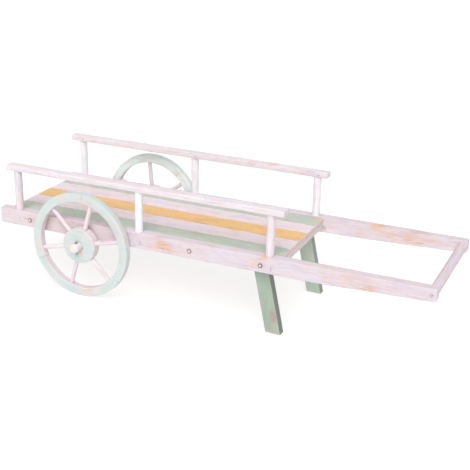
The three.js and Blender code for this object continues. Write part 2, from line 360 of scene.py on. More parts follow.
# ---- shader building ----
class Shader:
    """Short names for the nodes that the materials below are made of."""

    def __init__(self, name):
        self.material = bpy.data.materials.new(name)
        self.material.use_nodes = True
        self.tree = self.material.node_tree
        self.tree.nodes.clear()
        self.surface = self.add("ShaderNodeBsdfPrincipled")
        output = self.add("ShaderNodeOutputMaterial")
        self.tree.links.new(self.surface.outputs["BSDF"], output.inputs["Surface"])

    def add(self, kind, **settings):
        node = self.tree.nodes.new(kind)
        for key, value in settings.items():
            setattr(node, key, value)
        return node

    def put(self, node, key, value):
        """Links or sets one input."""
        socket = node.inputs[key]
        if isinstance(value, bpy.types.NodeSocket):
            self.tree.links.new(value, socket)
        else:
            socket.default_value = value

    def put_all(self, node, values):
        for key, value in values.items():
            self.put(node, key, value)

    def attribute(self, name, output="Fac"):
        return self.add("ShaderNodeAttribute", attribute_name=name).outputs[output]

    def scaled(self, vector, scale, offset=(0, 0, 0)):
        node = self.add("ShaderNodeMapping")
        self.put_all(node, {"Vector": vector, "Scale": scale, "Location": offset})
        return node.outputs["Vector"]

    def noise(self, vector, detail=3.0, roughness=0.55):
        node = self.add("ShaderNodeTexNoise")
        self.put_all(node, {"Vector": vector, "Scale": 1.0, "Detail": detail, "Roughness": roughness})
        return node.outputs["Fac"]

    def math(self, operation, a, b=0.0, c=0.0, clamp=False):
        node = self.add("ShaderNodeMath", operation=operation, use_clamp=clamp)
        self.put_all(node, {0: a, 1: b, 2: c})
        return node.outputs[0]

    def weighted(self, *pairs, base=0.0):
        """The sum of each value times its weight, and a base."""
        total = base
        for value, weight in pairs:
            total = self.math("MULTIPLY_ADD", value, weight, total)
        return total

    def step(self, value, low, high):
        node = self.add("ShaderNodeMapRange", interpolation_type="SMOOTHSTEP")
        self.put_all(node, {"Value": value, "From Min": low, "From Max": high})
        return node.outputs["Result"]

    def mix(self, share, a, b, blend="MIX"):
        """Mixes two colours; a colour mix has its share in input 0, its colours in 6 and 7."""
        node = self.add("ShaderNodeMix", data_type="RGBA", blend_type=blend)
        self.put_all(node, {0: share, 6: a, 7: b})
        return node.outputs[2]

    def length_of(self, vector):
        node = self.add("ShaderNodeVectorMath", operation="LENGTH")
        self.put(node, 0, vector)
        return node.outputs["Value"]

    def bump(self, height, strength, distance):
        node = self.add("ShaderNodeBump")
        self.put_all(node, {"Height": height, "Strength": strength, "Distance": distance})
        self.put(self.surface, "Normal", node.outputs["Normal"])


RINGS_PER_METRE = 270.0


def pine(shader, grain):
    """Bare pine: growth rings round the pith, fibres along the board.

    Returns its colour, the fibres and the dark late wood."""
    wander = shader.noise(shader.scaled(grain, (3.0, 9.0, 9.0)), detail=2)
    wander_side = shader.noise(shader.scaled(grain, (2.2, 7.0, 7.0), (4, 8, 2)), detail=2)
    split = shader.add("ShaderNodeSeparateXYZ")
    shader.put(split, 0, grain)
    across = shader.math("MULTIPLY_ADD", wander, 0.03, split.outputs["Y"])
    up = shader.math("MULTIPLY_ADD", wander_side, 0.03, split.outputs["Z"])
    square = shader.math("MULTIPLY_ADD", across, across, shader.math("MULTIPLY", up, up))
    rings = shader.math("FRACT", shader.math("MULTIPLY", shader.math("SQRT", square), RINGS_PER_METRE))
    late = shader.math("POWER", rings, 2.2)
    fibre = shader.noise(shader.scaled(grain, (22.0, 900.0, 900.0)), detail=3)
    tone = shader.weighted((late, 0.55), (fibre, 0.5))
    colour = shader.mix(shader.math("MULTIPLY", tone, 0.95, clamp=True), WOOD_LIGHT, WOOD_DARK)
    return colour, fibre, late


KNOT_WAVES = 17.0


def weathered(name, paint, shade, stain=PEACH, wear=0.0, second=None, show=0.8, knot_share=0.6, grime=0.25):
    """Thin matt paint on pine, with cloudy tones, brush streaks, and stained and rubbed places.

    `shade` is the paint's other tone, `stain` the colour of the wood that shows through thin paint,
    `second` the colour of the places marked as its second coat (on the legs a darker colour, painted shade),
    `show` how fully the bare wood shows where the paint has gone, and `grime` how dark the lines in its worn
    places are."""
    shader = Shader(name)
    grain = shader.attribute("grain", "Vector")
    worn = shader.attribute("worn")
    wood, fibre, late = pine(shader, grain)
    streak = shader.noise(shader.scaled(grain, (24.0, 250.0, 250.0)), detail=4, roughness=0.65)
    brush = shader.noise(shader.scaled(grain, (14.0, 520.0, 520.0), (3, 1, 7)), detail=2)
    blotch = shader.noise(shader.scaled(grain, (34.0, 70.0, 70.0)), detail=5, roughness=0.65)
    cloud = shader.noise(shader.scaled(grain, (8.0, 22.0, 22.0), (1, 5, 9)), detail=3)
    cool = shader.noise(shader.scaled(grain, (12.0, 34.0, 34.0), (7, 2, 4)), detail=2)
    warm = shader.noise(shader.scaled(grain, (15.0, 46.0, 46.0), (2, 9, 6)), detail=3)

    coat = shader.mix(shader.step(cloud, 0.34, 0.66), paint, shade)
    if second:
        border = shader.weighted((shader.attribute("coat"), 1.0), (blotch, 0.3))
        coat = shader.mix(shader.step(border, 0.58, 0.72), coat, second)
    coat = shader.mix(shader.step(cool, 0.5, 0.72), coat, COOL_TINT, "MULTIPLY")
    coat = shader.mix(shader.step(warm, 0.5, 0.74), coat, WARM_TINT, "MULTIPLY")
    coat = shader.mix(shader.step(streak, 0.48, 0.72), coat, STREAK_TINT, "MULTIPLY")
    brushed = shader.math("MULTIPLY", shader.step(brush, 0.45, 0.75), 0.5)
    coat = shader.mix(brushed, coat, STREAK_TINT, "MULTIPLY")

    edge = shader.attribute("edge")
    thin = shader.weighted((worn, 0.66), (streak, 1.2), (blotch, 0.8), (edge, 0.1), base=wear - 0.22)
    stained = shader.math("MULTIPLY", shader.step(thin, 0.86, 1.5), 0.7)
    coat = shader.mix(stained, coat, stain)
    gone = shader.step(thin, 1.26, 1.66)
    colour = shader.mix(shader.math("MULTIPLY", gone, show), coat, wood)
    lines = shader.noise(shader.scaled(grain, (26.0, 380.0, 380.0), (5, 3, 1)), detail=3, roughness=0.6)
    dirty = shader.math("MULTIPLY", shader.step(lines, 0.5, 0.66), shader.step(worn, 0.1, 0.7))
    colour = shader.mix(shader.math("MULTIPLY", dirty, grime), colour, GRIME)

    from_knot = shader.length_of(shader.attribute("knot", "Vector"))
    knot = shader.weighted((from_knot, 1.0), (blotch, 0.5), (fibre, 0.2))
    knotted = shader.math("SUBTRACT", 1.0, shader.step(knot, 0.9, 1.55))
    waves = shader.math("SINE", shader.math("MULTIPLY", knot, KNOT_WAVES))
    knotted = shader.math("MULTIPLY", knotted, shader.math("MULTIPLY_ADD", waves, 0.3, 0.7))
    colour = shader.mix(shader.math("MULTIPLY", knotted, knot_share), colour, KNOT_BROWN)

    shader.put_all(shader.surface, {
        "Base Color": colour,
        "Roughness": shader.weighted((gone, 0.12), (brush, 0.16), base=0.6),
        "Specular IOR Level": 0.3})
    height = shader.weighted(
        (fibre, 0.3), (late, 0.22), (brush, 0.35), (streak, 0.3), (gone, -0.5), (knotted, -0.3))
    shader.bump(height, 0.45, 0.35 * MM)
    return shader.material


def metal(name, bright, dull, painted=None):
    """Zinc-plated steel gone dull; `painted` is the colour left on its marked places."""
    shader = Shader(name)
    grain = shader.attribute("grain", "Vector")
    stain = shader.noise(shader.scaled(grain, (420.0, 420.0, 420.0)), detail=4)
    colour = shader.mix(shader.step(stain, 0.35, 0.65), bright, dull)
    metallic = 1.0
    if painted:
        cover = shader.step(shader.weighted((shader.attribute("coat"), 1.0), (stain, 0.5)), 0.68, 0.86)
        colour = shader.mix(cover, colour, painted)
        metallic = shader.math("SUBTRACT", 1.0, cover)
    shader.put_all(shader.surface, {
        "Base Color": colour, "Metallic": metallic, "Roughness": shader.weighted((stain, 0.3), base=0.38)})
    shader.bump(stain, 0.3, 0.1 * MM)
    return shader.material


PAINTS = {
    "beam": weathered("whitewash_beams", srgb(221, 211, 221), srgb(221, 208, 211), grime=0.6),
    "rail": weathered("whitewash_rails", srgb(232, 225, 231), srgb(232, 222, 226), wear=-0.05),
    # The posts' whitewash comes in two copies: a darker one as painted shade on two near posts, and a lighter
    # one as painted light on the rest.
    "post_grey": weathered("whitewash_grey_posts", srgb(231, 225, 230), srgb(231, 220, 224), wear=-0.08),
    "post_white": weathered("whitewash_white_posts", srgb(245, 244, 250), srgb(245, 239, 244), wear=-0.08),
    "slat_white": weathered(
        "whitewash_slats", srgb(232, 221, 228), srgb(232, 218, 220),
        knot_share=0.3, second=srgb(222, 207, 206)),
    "slat_sage": weathered(
        "sage_slats", srgb(196, 203, 194), srgb(188, 200, 182), srgb(214, 192, 176),
        show=0.6, knot_share=0.3, second=srgb(222, 208, 205)),
    "slat_apricot": weathered(
        "apricot_slat", srgb(236, 194, 142), srgb(235, 195, 132), srgb(228, 176, 122),
        wear=-0.1, show=0.5, knot_share=0.3, second=srgb(222, 205, 198)),
    "bearer": weathered("whitewash_bearers", srgb(221, 209, 210), srgb(216, 204, 201)),
    "mint_right": weathered(
        "mint_wheel_right", srgb(198, 219, 216), srgb(206, 216, 214), srgb(226, 212, 209),
        wear=0.2, show=0.4, second=srgb(225, 217, 222)),
    # The left wheel's mint is a lighter copy of the right wheel's: painted light for the wheel on the cart's
    # shaded far side.
    "mint_left": weathered(
        "mint_wheel_left", srgb(226, 242, 240), srgb(230, 238, 236), srgb(230, 219, 215),
        wear=0.1, show=0.4, second=srgb(233, 221, 225)),
    "spoke": weathered("whitewash_spokes", srgb(235, 223, 228), srgb(233, 219, 221), wear=-0.02),
    # The legs' second colours are painted shade: darker tones for their narrow faces, which face away from
    # the light.
    "leg_right": weathered(
        "sage_leg_right", srgb(168, 184, 169), srgb(161, 180, 158), srgb(190, 170, 156),
        show=0.5, knot_share=0.65, second=srgb(126, 133, 126)),
    # The left leg's sage is its own bluer tone, made lighter as painted light for its place in the shade
    # under the deck.
    "leg_left": weathered(
        "sage_leg_left", srgb(178, 196, 184), srgb(172, 193, 174), srgb(196, 180, 168),
        show=0.5, second=srgb(146, 158, 149)),
    "axle": weathered("whitened_axle", srgb(238, 230, 230), srgb(235, 224, 221), wear=-0.02, show=0.6),
}
STEEL = metal("dull_steel", srgb(172, 166, 162), srgb(124, 112, 106))
WHITE_DAUB = srgb(225, 214, 221)
CUP_STEEL = metal("painted_cups", srgb(204, 170, 160), srgb(172, 136, 126), painted=WHITE_DAUB)
BOLT_STEEL = metal("worn_bolt", srgb(172, 156, 154), srgb(142, 124, 120), painted=WHITE_DAUB)


# ---- boards ----
def board_rows(low, high, arris, seed, bottom, end_arris):
    """Rows of a board that runs along X; `bottom(x)` gives a tapering underside."""
    length, width, height = high - low
    across, up = shares(width - 2 * arris), shares(height - 2 * arris)
    rows = []
    for place, inset in stations(length, arris, 12 * MM, end_arris):
        x = low[0] + place
        under = bottom(x) if bottom else low[2]
        wear = 1 + 0.5 * float(ripple(np.array([[x, 0, 0]]), 90 * MM, seed)[0])
        radius = max(arris * wear - inset, 0.15 * arris)
        ring = outline(width - 2 * inset, high[2] - under - 2 * inset, radius, across, up)
        row = np.empty((len(ring), 3))
        row[:, 0] = x
        row[:, 1] = (low[1] + high[1]) / 2 + ring[:, 0]
        row[:, 2] = (high[2] + under) / 2 + ring[:, 1]
        rows.append(row)
    return rows


BOARD_UNEVEN = 0.25 * MM


def board(name, node, paint, arris, holes=(), spots=(), knots=(), bottom=None, turn=False,
          end_arris=None, patches=None):
    """A planed board in place of a CAD node; `turn` makes its grain run along Y.

    `patches` are the places of its second coat, which then also covers both its ends."""
    low, high = level_box(node)
    order = [1, 0, 2] if turn else [0, 1, 2]
    rows = board_rows(low[order], high[order], arris, seed_of(name), bottom, end_arris)
    piece = new_object(name, *loft(rows))
    set_points(piece, points_of(piece)[:, order])
    if turn:
        piece.data.flip_normals()
    uneven(piece, BOARD_UNEVEN, 70 * MM, seed_of(name) + 1)
    drill(piece, holes)
    local = (points_of(piece) - low)[:, order]
    size = (high - low)[order]
    under = np.array([bottom(x) for x in local[:, 0] + low[0]]) - low[2] if bottom else 0
    distances = np.stack([
        np.minimum(local[:, 0], size[0] - local[:, 0]),
        np.minimum(local[:, 1], size[1] - local[:, 1]),
        np.minimum(local[:, 2] - under, size[2] - local[:, 2])], 1)
    coat = None
    if patches is not None:
        at_end = np.clip(1.3 - distances[:, 0] / (1.6 * MM), 0, 1)
        coat = np.maximum(at_end, near_spots(local, patches))
    mark(piece, local, distances, spots, knots, coat)
    to_world(piece)
    return finish_piece(piece, "chassis", PAINTS[paint], [node])


def bore(centre, axis, radius, length, sides=32):
    """A cylinder to cut with, centred on a place."""
    along = frame_along(axis)[0]
    start = np.array(centre) - along * length / 2
    return turned(start, start + along, [(0, radius), (length, radius)], sides)


def centre_of(node):
    low, high = level_box(node)
    return (low + high) / 2


BEAM_END = 5.5 * MM  # how far the handle end of a beam is rounded


BEAM_SCREWS = {
    "bearer_screw_rear": SHANK, "bearer_screw_middle": SHANK, "bearer_screw_front": SMALL_SHANK,
    "handle_screw": SMALL_SHANK, "leg_bolt": SHANK,
}


def side_beam(hand, spots, knots=()):
    """A long board whose underside rises towards the handle, bored for its posts and screws."""
    node = f"side_beam_{hand}"
    low, high = level_box(node)
    points = level_points(node)
    flat_end = points[points[:, 2] < low[2] + 0.05 * MM][:, 0].max()
    tip_under = points[points[:, 0] > high[0] - 0.05 * MM][:, 2].min()

    def underside(x):
        return low[2] + max(0.0, x - flat_end) / (high[0] - flat_end) * (tip_under - low[2])

    through = 4 * (high[1] - low[1])
    holes = []
    for row in ROWS:
        x, y, _ = centre_of(f"post_{hand}_{row}")
        seat = level_box(f"post_{hand}_{row}")[0][2] - GAP
        depth = high[2] - seat
        holes.append(bore((x, y, seat + depth), (0, 0, 1), POST_BORE, 2 * depth))
    for name, radius in BEAM_SCREWS.items():
        x, _, z = centre_of(f"{name}_{hand}")
        holes.append(bore((x, (low[1] + high[1]) / 2, z), (0, 1, 0), radius + GAP, through, 16))
    x, y, _ = centre_of(f"axle_screw_{hand}")
    depth = level_box(f"axle_screw_{hand}")[1][2] + GAP - low[2]
    holes.append(bore((x, y, low[2]), (0, 0, 1), SMALL_SHANK + GAP, 2 * depth, 16))
    board(node + "_board", node, "beam", 1.8 * MM, holes, spots, knots, underside, end_arris=BEAM_END)


# Worn places: (along, across, up) from the board's low corner, their reach, and strength. Millimetres.
side_beam("right", [
    # The spot at 235 along, behind the wheel, is partly a worn pinkish tone and partly painted shade from the
    # wheel.
    ((523, 0, 26), (34, 8, 15), 1.0), ((515, 0, 12), (44, 8, 10), 0.6), ((163, 0, 24), (30, 8, 24), 0.5),
    ((792, 0, 24), (40, 8, 17), 0.75), ((820, 10, 45), (18, 16, 8), 0.9), ((985, 0, 13), (28, 8, 10), 0.6),
    ((1098, 0, 12), (16, 8, 7), 1.0), ((1070, 0, 24), (62, 8, 24), 0.55), ((740, 14, 45), (14, 12, 5), 0.5),
    ((235, 0, 24), (40, 8, 24), 0.4), ((40, 0, 30), (30, 8, 10), 0.35)],
    knots=[((1246, 0, 30), (3, 3, 3))])
side_beam("left", [
    ((1080, 0, 22), (80, 8, 24), 0.6), ((1122, 0, 24), (22, 8, 14), 0.5),
    ((1242, 0, 30), (22, 8, 11), 0.8), ((1013, 10, 45), (22, 15, 7), 1.5),
    ((1132, 12, 45), (28, 14, 6), 0.75), ((960, 0, 24), (70, 8, 18), 0.25)],
    knots=[((858.5, 0, 15), (7, 5, 7))])


# ---- deck ----
SLAT_PAINTS = ["slat_sage", "slat_white", "slat_apricot", "slat_white", "slat_sage"]
SLAT_END = [((838, 30, 10), (9, 60, 5), 0.4)]
SLAT_SPOTS = {
    1: [((760, 0, 10), (24, 14, 6), 0.5), ((520, 30, 10), (60, 10, 6), 0.3)],
    2: [((330, 40, 10), (70, 12, 6), 0.5), ((660, 24, 10), (50, 14, 6), 0.4)],
    3: [((470, 8, 10), (60, 10, 6), 0.5)],
    4: [((530, 20, 10), (60, 14, 6), 0.5), ((160, 30, 10), (60, 20, 6), 0.4)],
    5: [((820, 50, 10), (30, 14, 6), 0.7)],
}
# The places where a slat is bare of its own colour and shows the whitewash.
SLAT_PATCHES = {1: [((770, 2, 10), (12, 6, 6), 1.4)], 5: [((690, 58, 10), (30, 4, 6), 0.9)]}
SLAT_KNOTS = {
    1: [((200, 22, 10), (7, 4, 5))], 2: [((612, 18, 10), (6, 4, 5))], 3: [((396, 4, 10), (5, 3, 4))],
    4: [((326, 4, 10), (7, 4, 5)), ((420, 24, 10), (6, 3, 5))], 5: [((612, 12, 10), (6, 3, 5))],
}


def nail_places(slat_low, slat_high):
    """Where each slat is nailed to its bearers: two nails a bearer."""
    quarter = (slat_high[1] - slat_low[1]) / 4
    middle = (slat_high[1] + slat_low[1]) / 2
    return [(centre_of(f"deck_bearer_{row}")[0], middle + side * quarter) for row in ROWS for side in (-1, 1)]


NAIL_RADIUS = 1.6 * MM
NAIL_LENGTH = 7 * MM
NAIL_SUNK = 0.6 * MM  # from the slat's face down to the nail's head
NAIL_PROFILE = [
    (0, NAIL_RADIUS * 0.5), (6 * MM, NAIL_RADIUS * 0.5), (6.2 * MM, NAIL_RADIUS),
    (6.8 * MM, NAIL_RADIUS * 0.97), (NAIL_LENGTH, NAIL_RADIUS * 0.6)]
for number, paint in enumerate(SLAT_PAINTS, 1):
    node = f"deck_slat_{number}"
    low, high = level_box(node)
    places = nail_places(low, high)
    sinks = [bore((x, y, high[2]), (0, 0, 1), NAIL_RADIUS + 0.5 * MM, 2 * MM, 16) for x, y in places]
    board(node + "_board", node, paint, 1.2 * MM, sinks, SLAT_SPOTS[number] + SLAT_END, SLAT_KNOTS[number],
          patches=SLAT_PATCHES.get(number, []))
    heads = []
    for x, y in places:
        top = high[2] - NAIL_SUNK
        heads.append(turned(np.array([x, y, top - NAIL_LENGTH]), (x, y, top), NAIL_PROFILE, 14))
    nails = new_object(f"deck_nails_{number}", *merge(heads))
    local = points_of(nails) - low
    mark(nails, local, far_from_edges(local))
    to_world(nails)
    finish_piece(nails, "chassis", PAINTS[paint])


def end_bores(node, radius):
    """Screw holes into both ends of a piece that runs across the cart."""
    low, high = level_box(node)
    x, _, z = (low + high) / 2
    return [bore((x, y, z), (0, 1, 0), radius + GAP, 2 * SCREW_REACH, 16) for y in (low[1], high[1])]


for row in ROWS:
    node = f"deck_bearer_{row}"
    radius = SMALL_SHANK if row == "front" else SHANK
    board(node + "_board", node, "bearer", 1.5 * MM, end_bores(node, radius), turn=True)


# ---- rails and posts ----
RAIL_SPOTS = {
    "left": [
        ((612, 0, 11), (14, 6, 6), 0.9), ((604, 10, 16), (12, 12, 5), 0.6),
        ((672, 12, 16), (22, 14, 5), 1.0)],
    "right": [((640, 0, 8), (40, 5, 8), 0.45), ((780, 0, 6), (34, 6, 7), 0.5)],
}


def dowel(name, node, paint, start, end, radius, chamfer=1.0 * MM, body="chassis", holes=(), spots=(),
          turn_back=True, sides=32):
    """A round rod in place of a CAD node, its ends eased."""
    start, end = np.array(start, float), np.array(end, float)
    length = np.linalg.norm(end - start)
    along, u, v = frame_along(end - start)
    rim = [(place, radius - inset) for place, inset in stations(length, chamfer, 11 * MM)]
    piece = new_object(name, *turned(start, end, rim, sides))
    uneven(piece, 0.08 * MM, 45 * MM, seed_of(name) + 1)
    drill(piece, holes)
    offset = points_of(piece) - start
    local = np.stack([offset @ along, offset @ u, offset @ v], 1)
    from_axis = np.hypot(local[:, 1], local[:, 2])
    distances = np.stack([radius - from_axis, np.minimum(local[:, 0], length - local[:, 0])], 1)
    mark(piece, local, distances, spots)
    if turn_back:
        to_world(piece)
    return finish_piece(piece, body, PAINTS[paint], [node])


# These posts take the darker whitewash copy as painted shade; the others take the lighter copy as painted
# light.
POSTS_IN_PAINTED_SHADE = ("post_right_rear", "post_right_front")  # painted a little darker than the others
for hand in SIDES:
    rail = f"top_rail_{hand}"
    rail_low, rail_high = level_box(rail)
    sockets = []
    for row in ROWS:
        node = f"post_{hand}_{row}"
        low, high = level_box(node)
        x, y, _ = (low + high) / 2
        depth = high[2] + GAP - rail_low[2]
        sockets.append(bore((x, y, rail_low[2]), (0, 0, 1), POST_BORE, 2 * depth))
        paint = "post_grey" if node in POSTS_IN_PAINTED_SHADE else "post_white"
        radius = (high[0] - low[0]) / 2
        dowel(node + "_dowel", node, paint, (x, y, low[2]), (x, y, high[2]), radius)
    board(rail + "_board", rail, "rail", 1.8 * MM, sockets, RAIL_SPOTS[hand])

HANDLE_SPOTS = [((108, 0, 8), (13, 16, 16), 0.9), ((300, 0, 10), (14, 14, 14), 0.5)]
low, high = level_box("handle_bar")
x, _, z = (low + high) / 2
dowel("handle_bar_dowel", "handle_bar", "beam", (x, low[1], z), (x, high[1], z), (high[0] - low[0]) / 2,
      holes=end_bores("handle_bar", SMALL_SHANK), spots=HANDLE_SPOTS)

# ---- axle ----
low, high = level_box("axle")
x, _, z = (low + high) / 2
axle_holes = []
for hand in SIDES:
    for name, radius in (("axle_screw", SMALL_SHANK + GAP), ("wheel_pin", WHEEL_PIN_BORE)):
        y = centre_of(f"{name}_{hand}")[1]
        axle_holes.append(bore((x, y, z), (0, 0, 1), radius, 2 * (high[2] - low[2]), 16))
dowel("axle_dowel", "axle", "axle", (x, low[1], z), (x, high[1], z), (high[2] - low[2]) / 2, 2.2 * MM,
      holes=axle_holes, sides=48)


# ---- legs: raked boards whose feet lie flat on the ground ----
def leg(hand, spots, knots=()):
    """A raked board whose top follows the deck's underside; its narrow faces take a darker second colour as
    painted shade.
    """
    node = f"leg_{hand}"
    points = corners(node)
    low, high = points.min(0), points.max(0)
    top_level = level_box(node)[1][2]
    foot = points[points[:, 2] < 0.05 * MM]
    top = points[level_points(node)[:, 2] > top_level - 0.05 * MM]
    width = np.ptp(foot[:, 0])
    foot_middle = foot[:, 0].min() + width / 2
    rear_top = top[np.argmin(top[:, 0])]
    rake = (rear_top[0] - foot[:, 0].min()) / rear_top[2]
    middle_y, thickness = (low[1] + high[1]) / 2, high[1] - low[1]
    arris = 1.6 * MM
    across, up = shares(width - 2 * arris), shares(thickness - 2 * arris)
    rows = []
    for place, inset in stations(high[2], arris, 11 * MM):
        radius = max(arris - inset, 0.15 * arris)
        ring = outline(width - 2 * inset, thickness - 2 * inset, radius, across, up)
        reach = foot_middle + rake * place + ring[:, 0]
        ceiling = (top_level + reach * math.sin(TILT)) / math.cos(TILT)
        z = place * ceiling / high[2]
        rows.append(np.stack([foot_middle + rake * z + ring[:, 0], middle_y + ring[:, 1], z], 1))
    piece = new_object(node + "_board", *loft(rows))
    uneven(piece, BOARD_UNEVEN, 60 * MM, seed_of(node))
    bolt = LEVEL_TO_WORLD @ centre_of(f"leg_bolt_{hand}")
    drill(piece, [bore((bolt[0], middle_y, bolt[2]), (0, 1, 0), SHANK + GAP, 2 * thickness, 16)])
    placed = points_of(piece)
    side = placed[:, 0] - (foot_middle + rake * placed[:, 2]) + width / 2
    local = np.stack([placed[:, 2], side, placed[:, 1] - low[1]], 1)
    distances = np.stack([
        np.minimum(local[:, 0], high[2] - local[:, 0]),
        np.minimum(local[:, 1], width - local[:, 1]),
        np.minimum(local[:, 2], thickness - local[:, 2])], 1)
    # Painted shade: the narrow faces take the darker second colour.
    painted_shade_on_narrow_faces = np.clip(1.4 - distances[:, 1] / (1.2 * MM), 0, 1)
    mark(piece, local, distances, spots, knots, painted_shade_on_narrow_faces)
    finish_piece(piece, "chassis", PAINTS[node], [node])


leg("right", [((50, 32, 0), (32, 14, 8), 0.6), ((78, 3, 0), (16, 6, 8), 0.9), ((6, 22, 0), (9, 30, 24), 0.7)],
    [((50, 32, 0), (22, 10, 10))])
leg("left", [((120, 26, 0), (30, 12, 8), 0.6), ((3, 22, 0), (7, 30, 24), 0.4)])


# ---- wheels ----
def polar(points, centre):
    """Radius and angle in the wheel's plane, and distance along its axle."""
    offset = points - centre
    return np.hypot(offset[:, 0], offset[:, 2]), np.arctan2(offset[:, 2], offset[:, 0]), offset[:, 1]


def angle_apart(angles, middle):
    return (angles - middle + math.pi) % (2 * math.pi) - math.pi


def middle_angle(node, centre):
    """The direction of a rim segment's middle in its wheel's plane, and half the angle it spans."""
    radii, angles, _ = polar(corners(node), centre)
    outer = angles[radii > radii.max() - 1 * MM]
    start = math.atan2(np.sin(outer).mean(), np.cos(outer).mean())
    apart = angle_apart(outer, start)
    return start + (apart.min() + apart.max()) / 2, (apart.max() - apart.min()) / 2


# Worn places on a rim: (degrees, from the inner edge, from its low side), reach and strength.
RIM_SPOTS = {
    "right": [
        ((115, 18, 0), (22, 9, 12), 0.8), ((-77, 10, 0), (26, 12, 12), 0.9), ((28, 25, 0), (40, 7, 12), 0.6),
        ((193, 10, 0), (26, 14, 12), 0.6), ((88, 8, 0), (20, 9, 12), 0.5), ((-20, 20, 0), (30, 8, 12), 0.4),
        ((230, 20, 0), (26, 8, 12), 0.4)],
    "left": [
        ((50, 8, 0), (22, 14, 12), 0.9), ((102, 4, 0), (16, 6, 12), 0.8), ((125, 14, 0), (20, 10, 12), 0.5),
        ((70, 12, 22), (30, 10, 10), 0.5), ((200, 14, 22), (30, 10, 10), 0.6),
        ((-40, 14, 22), (26, 9, 10), 0.6)],
}
GLUE_LINE = 0.12 * MM  # each end of a segment comes this much closer to the next than in the CAD


def rim_segment(hand, number, sockets):
    node = f"wheel_{hand}_rim_segment_{number}"
    centre = WHEEL_CENTRE[hand]
    radii, _, offsets = polar(corners(node), centre)
    inner, outer = radii.min(), radii.max()
    side_low, side_high = offsets.min(), offsets.max()
    middle, half = middle_angle(node, centre)
    depth, width, arris = outer - inner, side_high - side_low, 2.4 * MM
    mean_radius, mean_side = (inner + outer) / 2, (side_low + side_high) / 2
    half += GLUE_LINE / mean_radius
    length = 2 * half * mean_radius
    across, up = shares(depth - 2 * arris), shares(width - 2 * arris)
    rows = []
    for place, inset in stations(length, 0.15 * MM, 7 * MM):
        angle = middle - half + place / mean_radius
        ring = outline(depth - 2 * inset, width - 2 * inset, arris - inset, across, up)
        reach = mean_radius + ring[:, 0]
        row = np.stack([reach * math.cos(angle), mean_side + ring[:, 1], reach * math.sin(angle)], 1)
        rows.append(centre + row)
    piece = new_object(node + "_felloe", *loft(rows))
    uneven(piece, BOARD_UNEVEN, 60 * MM, seed_of(node))
    drill(piece, sockets)
    radii, angles, offsets = polar(points_of(piece), centre)
    first, first_half = middle_angle(f"wheel_{hand}_rim_segment_1", centre)
    joint = first - first_half
    own_start = (middle - joint) % (2 * math.pi)
    along = (own_start + angle_apart(angles, middle)) * mean_radius
    local = np.stack([along, radii - inner, offsets - side_low], 1)
    distances = np.stack([
        np.minimum(local[:, 1], depth - local[:, 1]),
        np.minimum(local[:, 2], width - local[:, 2])], 1)
    bore_side = np.clip(1.15 - local[:, 1] / (2.2 * MM), 0, 1)
    spots = []
    for (degrees, radial, across_rim), reach, strength in RIM_SPOTS[hand]:
        turn = (math.radians(degrees) - joint) % (2 * math.pi)
        spots.append(((turn * mean_radius / MM, radial, across_rim), reach, strength))
    mark(piece, local, distances, spots, coat=bore_side, family=f"wheel_{hand}_rim")
    finish_piece(piece, f"wheel_{hand}", PAINTS[f"mint_{hand}"], [node])


# Worn places on a hub's outer face: (along X, up) from its centre, reach and strength.
HUB_SPOTS = [((11, -19), (9, 8, 8), 1.5), ((-30, 5), (12, 20, 8), 0.4), ((24, 30), (14, 10, 8), 0.5)]


def hub(hand, sockets):
    node = f"wheel_{hand}_hub"
    centre = WHEEL_CENTRE[hand]
    radii, _, offsets = polar(corners(node), centre)
    inner, outer = radii.min(), radii.max()
    width, arris = offsets.max() - offsets.min(), 2.6 * MM
    depth = outer - inner
    across, up = shares(depth - 2 * arris), shares(width - 2 * arris)
    profile = outline(depth, width, arris, across, up) + [(inner + outer) / 2, 0]
    piece = new_object(node + "_block", *ring_of(centre, (0, 1, 0), profile, 96))
    uneven(piece, 0.2 * MM, 50 * MM, seed_of(node))
    drill(piece, sockets)
    placed = points_of(piece)
    radii, _, offsets = polar(placed, centre)
    distances = np.stack([
        np.minimum(radii - inner, outer - radii),
        np.minimum(offsets + width / 2, width / 2 - offsets)], 1)
    local = (placed - centre)[:, [0, 2, 1]]
    rim_side = np.clip(1.15 - (outer - radii) / (2.4 * MM), 0, 1)
    face = SIDES[hand] * width / MM / 2
    spots = [((x, z, face), reach, strength) for (x, z), reach, strength in HUB_SPOTS]
    mark(piece, local, distances, spots, coat=rim_side)
    finish_piece(piece, f"wheel_{hand}", PAINTS[f"mint_{hand}"], [node])


for hand in SIDES:
    centre = WHEEL_CENTRE[hand]
    sockets = []
    for number in range(1, 7):
        node = f"wheel_{hand}_spoke_{number}"
        offset = corners(node) - centre
        direction = offset.mean(0) * [1, 0, 1]
        direction /= np.linalg.norm(direction)
        reach = offset @ direction
        start, end = centre + direction * reach.min(), centre + direction * reach.max()
        radius = (offset[:, 1].max() - offset[:, 1].min()) / 2
        length = np.ptp(reach) + 2 * GAP
        sockets.append(bore((start + end) / 2, direction, radius + GAP, length, 24))
        dowel(node + "_dowel", node, "spoke", start, end, radius, 0.8 * MM, f"wheel_{hand}",
              turn_back=False, sides=24)
    for number in range(1, 4):
        rim_segment(hand, number, sockets)
    hub(hand, sockets)


# ---- fasteners ----
THREAD_TURNS = 14
THREAD_PITCH = 1.8 * MM
THREAD_START = 3 * MM
ROOT = 0.72  # the thread's root, as a share of the shank's radius
# Head shapes: (up from the seat, out from the middle) as shares of the head's height and radius.
ROUND_HEAD = ((0.45, 0.97), (0.7, 0.84), (0.88, 0.6), (0.97, 0.34), (1.0, 0.1))
CUP_HEAD = (
    (0.62, 0.97), (0.74, 0.88), (0.66, 0.78), (0.3, 0.69), (0.26, 0.64), (0.6, 0.61),
    (0.86, 0.52), (0.97, 0.34), (1.0, 0.12))


